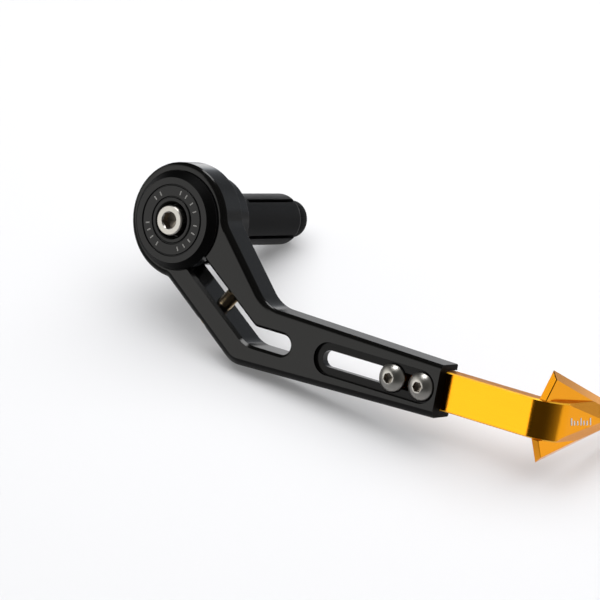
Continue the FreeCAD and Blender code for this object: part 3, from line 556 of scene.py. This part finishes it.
# Centre bolt. Stainless M6 socket head bolt, its head knurled; it passes through the cap, the hub
# and the sleeve, and its end shows in the cone nut.
def cut_socket(piece, across, depth, face, turn, finish, wall_finish, funnelled=True):
    """A hexagon socket in the face of a head: `across` its flats, `depth` to its drilled point.

    Where it is funnelled, its mouth has a bevel, in the finish of the head.
    """
    piece.data.materials.append(finish)
    corner = across / math.sqrt(3)
    bpy.ops.object.select_all(action="DESELECT")
    bpy.ops.mesh.primitive_cylinder_add(
        vertices=6, radius=corner * MM, depth=(depth + 1) * MM,
        location=(0, (face + (depth - 1) / 2) * MM, 0), rotation=(math.radians(90), 0, 0))
    key = bpy.context.object
    # Painted shade: the socket's walls take a darker finish than the head.
    key.data.materials.append(wall_finish)
    bpy.ops.object.transform_apply(location=True, rotation=True, scale=True)
    key.rotation_euler = (0, math.radians(turn), 0)
    bpy.ops.object.transform_apply(location=True, rotation=True, scale=True)
    bpy.ops.object.mode_set(mode="EDIT")
    bpy.ops.mesh.select_all(action="DESELECT")
    bpy.ops.object.mode_set(mode="OBJECT")
    for polygon in key.data.polygons:
        polygon.select = polygon.normal.y > 0.9
    bpy.ops.object.mode_set(mode="EDIT")
    point = 0.35 * across / 2
    bpy.ops.mesh.extrude_region_move(TRANSFORM_OT_translate={"value": (0, point * MM, 0)})
    bpy.ops.transform.resize(value=(0.04, 1, 0.04), center_override=(0, 0, 0))
    bpy.ops.object.mode_set(mode="OBJECT")
    tools = [key]
    if funnelled:
        mouth = corner * 1.03
        tools.append(turned("funnel", [
            (mouth + 1.0, face - 1.0), (mouth, face), (mouth - 0.45, face + 0.45)], sides=48))
        tools[-1].data.materials.append(finish)
    for tool in tools:
        apply_modifier(piece, "BOOLEAN", operation="DIFFERENCE", object=tool, solver="EXACT",
                       material_mode="TRANSFER")
        bpy.data.objects.remove(tool)


stainless = metal_finish("stainless", (0.47, 0.455, 0.425), 1.0, 0.34, (1, 1, 1), 3400.0, 0.010)
# Socket walls: broached, and painted darker and browner than the heads as shade inside the sockets.
broached_and_shaded = metal_finish("broached_and_shaded_steel", (0.38, 0.34, 0.29), 1.0, 0.42, (1, 1, 1), 3400.0, 0.010)
bolt = turned("bolt", [
    (4.6, -24.9), (5.0, -24.5), (5.0, -19.4), (4.85, -18.9), (3.0, -18.9), (3.0, 20.0),
    (2.39, 21.0), (2.39, 45.5), (1.8, 46.1)])
knurl(bolt, 5.0, -24.5, -19.4, 0.12)
cut_socket(bolt, 5.0, 3.0, -24.9, 12.0, stainless, broached_and_shaded)
break_edges(bolt, 0.06)
wind_thread(bolt, 2.36, 3.0, 1.0, 20.5, 46.0)
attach(bolt, "root")
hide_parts("centre_bolt")

# Clamp screw. M5 socket head screw of plated steel with a bronze tone; it crosses the bent slot
# square to the sloping leg, where its threads show, and draws the head of the arm together. It is
# made upright, its core painted black as the shade between its threads, then laid square to the leg.
bronze = metal_finish("bronze_plate", (0.56, 0.44, 0.29), 1.0, 0.17, (1, 1, 1), 3000.0, 0.010)
under_head = -10.9
clamp = turned("clamp", [
    (3.85, -15.9), (4.25, -15.5), (4.25, -11.3), (4.1, under_head), (2.05, under_head),
    (2.05, 4.7), (1.6, 5.1)])
cut_socket(clamp, 4.0, 2.5, -15.9, 20.0, bronze, broached_and_shaded)
break_edges(clamp, 0.1)
# Painted shade: the shank's core between the threads is near black; the arm and cap use this dull
# finish too.
clamp.data.materials.append(dull_black_and_groove_shade)
for polygon in clamp.data.polygons:
    if polygon.center.y > (under_head + 0.1) * MM:
        polygon.material_index = 2
wind_thread(clamp, 2.02, 2.5, 0.8, -10.4, 5.0, base=0.56, blunt=0.14)
leg_slope = math.radians(34.5)
along_leg = Vector((math.cos(leg_slope), 0, -math.sin(leg_slope)))
across_leg = Vector((math.sin(leg_slope), 0, math.cos(leg_slope)))
clamp.rotation_mode = "QUATERNION"
clamp.rotation_quaternion = Vector((0, 1, 0)).rotation_difference(across_leg)
plate_middle = -15.1
clamp.location = (along_leg * 30.5 + Vector((0, plate_middle, 0))) * MM
choose(clamp)
bpy.ops.object.transform_apply(location=True, rotation=True, scale=True)
clamp.rotation_mode = "XYZ"
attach(clamp, "arm")
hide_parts("clamp_screw")

# Guard blade. Flat bar of aluminium, bent inwards near its end, where it is milled to an arrow
# with two thin wings, whose rear ends get a bevel. It is gold anodised: satin on its faces,
# rougher on its long edges and paler on the narrow chamfers between them.
gold = metal_finish("gold_satin", (0.96, 0.365, 0.012), 1.0, 0.17, (0.08, 1, 1), 2600.0, 0.008,
                    milled=((0, 0, 1), 2.8))
gold_edge = metal_finish("gold_edge", (0.96, 0.47, 0.022), 0.45, 0.40, (1, 1, 1), 2600.0, 0.010)
blade = from_solid("guard_blade", "blade")
bar_half_width = 6.3
arrow_start = 120
wing_ends = {key for polygon in blade.data.polygons for key in polygon.edge_keys
             if polygon.normal.y < -0.8 and polygon.center.x > arrow_start * MM
             and abs(polygon.center.z / MM - straight_leg_z) > bar_half_width}
rim = blade.data.attributes.new("bevel_weight_edge", "FLOAT", "EDGE")
for edge in blade.data.edges:
    rim.data[edge.index].value = 1.0 if edge.key in wing_ends else 0.0
apply_modifier(blade, "BEVEL", width=0.3 * MM, segments=1, limit_method="WEIGHT")
break_edges(blade, 0.05)
blade.data.materials.append(gold)
blade.data.materials.append(gold_edge)
for polygon in blade.data.polygons:
    off_middle = abs(polygon.center.z / MM - straight_leg_z)
    on_chamfer = bar_half_width - 0.5 < off_middle < bar_half_width
    if on_chamfer and 0.3 < abs(polygon.normal.z) < 0.95:
        polygon.material_index = 1
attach(blade, "blade")
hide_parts("guard_blade")

# Print on the arrow. Seven plain slanted bars in white ink, a hair thick, printed on its middle
# facet after anodising. The first, the middle and the last one are taller.
ink = metal_finish("white_ink", (0.80, 0.79, 0.77), 0.0, 0.5, (1, 1, 1), 2000.0, 0.002)
facet_turn = math.radians(-10.0)
slant = math.radians(18.0)
foot_of_bars = -30.35
bars = []
for step in range(-3, 4):
    tall = 2.4 if step % 3 == 0 else 1.5
    from_middle = 1.55 * step
    bars.append(small_bar((0.05, 0.55, tall), (slant, 0, facet_turn), (
        150.47 - from_middle * math.sin(facet_turn), -1.75 + from_middle * math.cos(facet_turn),
        foot_of_bars + tall / 2)))
arrow_print = joined(bars, "arrow_print")
arrow_print.data.materials.append(ink)
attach(arrow_print, "blade")

# Blade screws. Two stainless M5 button head screws on the ledge of the straight slot; they are
# screwed into the tail of the blade and hold it wherever it is slid to.
head_seat = -18.95
head_radius = 4.75
head_height = 2.75
below_seat = 2.628
dome_radius = math.hypot(head_radius, 0.5 + below_seat)
dome = [(radius, head_seat + below_seat - math.sqrt(dome_radius ** 2 - radius ** 2))
        for radius in (1.85, 2.2, 2.6, 3.0, 3.4, 3.8, 4.15, 4.45, 4.68)]
for name, station, turn in (("outer_button", 102.1, 24.0), ("inner_button", 91.1, 8.0)):
    button = turned(name, dome + [
        (head_radius, head_seat - 0.35), (head_radius, head_seat), (2.05, head_seat),
        (2.05, -12.0), (1.6, -11.55)])
    cut_socket(button, 3.0, 1.6, head_seat - head_height, turn, stainless, broached_and_shaded, funnelled=False)
    break_edges(button, 0.08)
    wind_thread(button, 2.02, 2.5, 0.8, -18.3, -11.6)
    button.location = (station * MM, 0, straight_leg_z * MM)
    choose(button)
    bpy.ops.object.transform_apply(location=True, rotation=True, scale=True)
    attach(button, "blade")
    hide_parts("blade_screws")
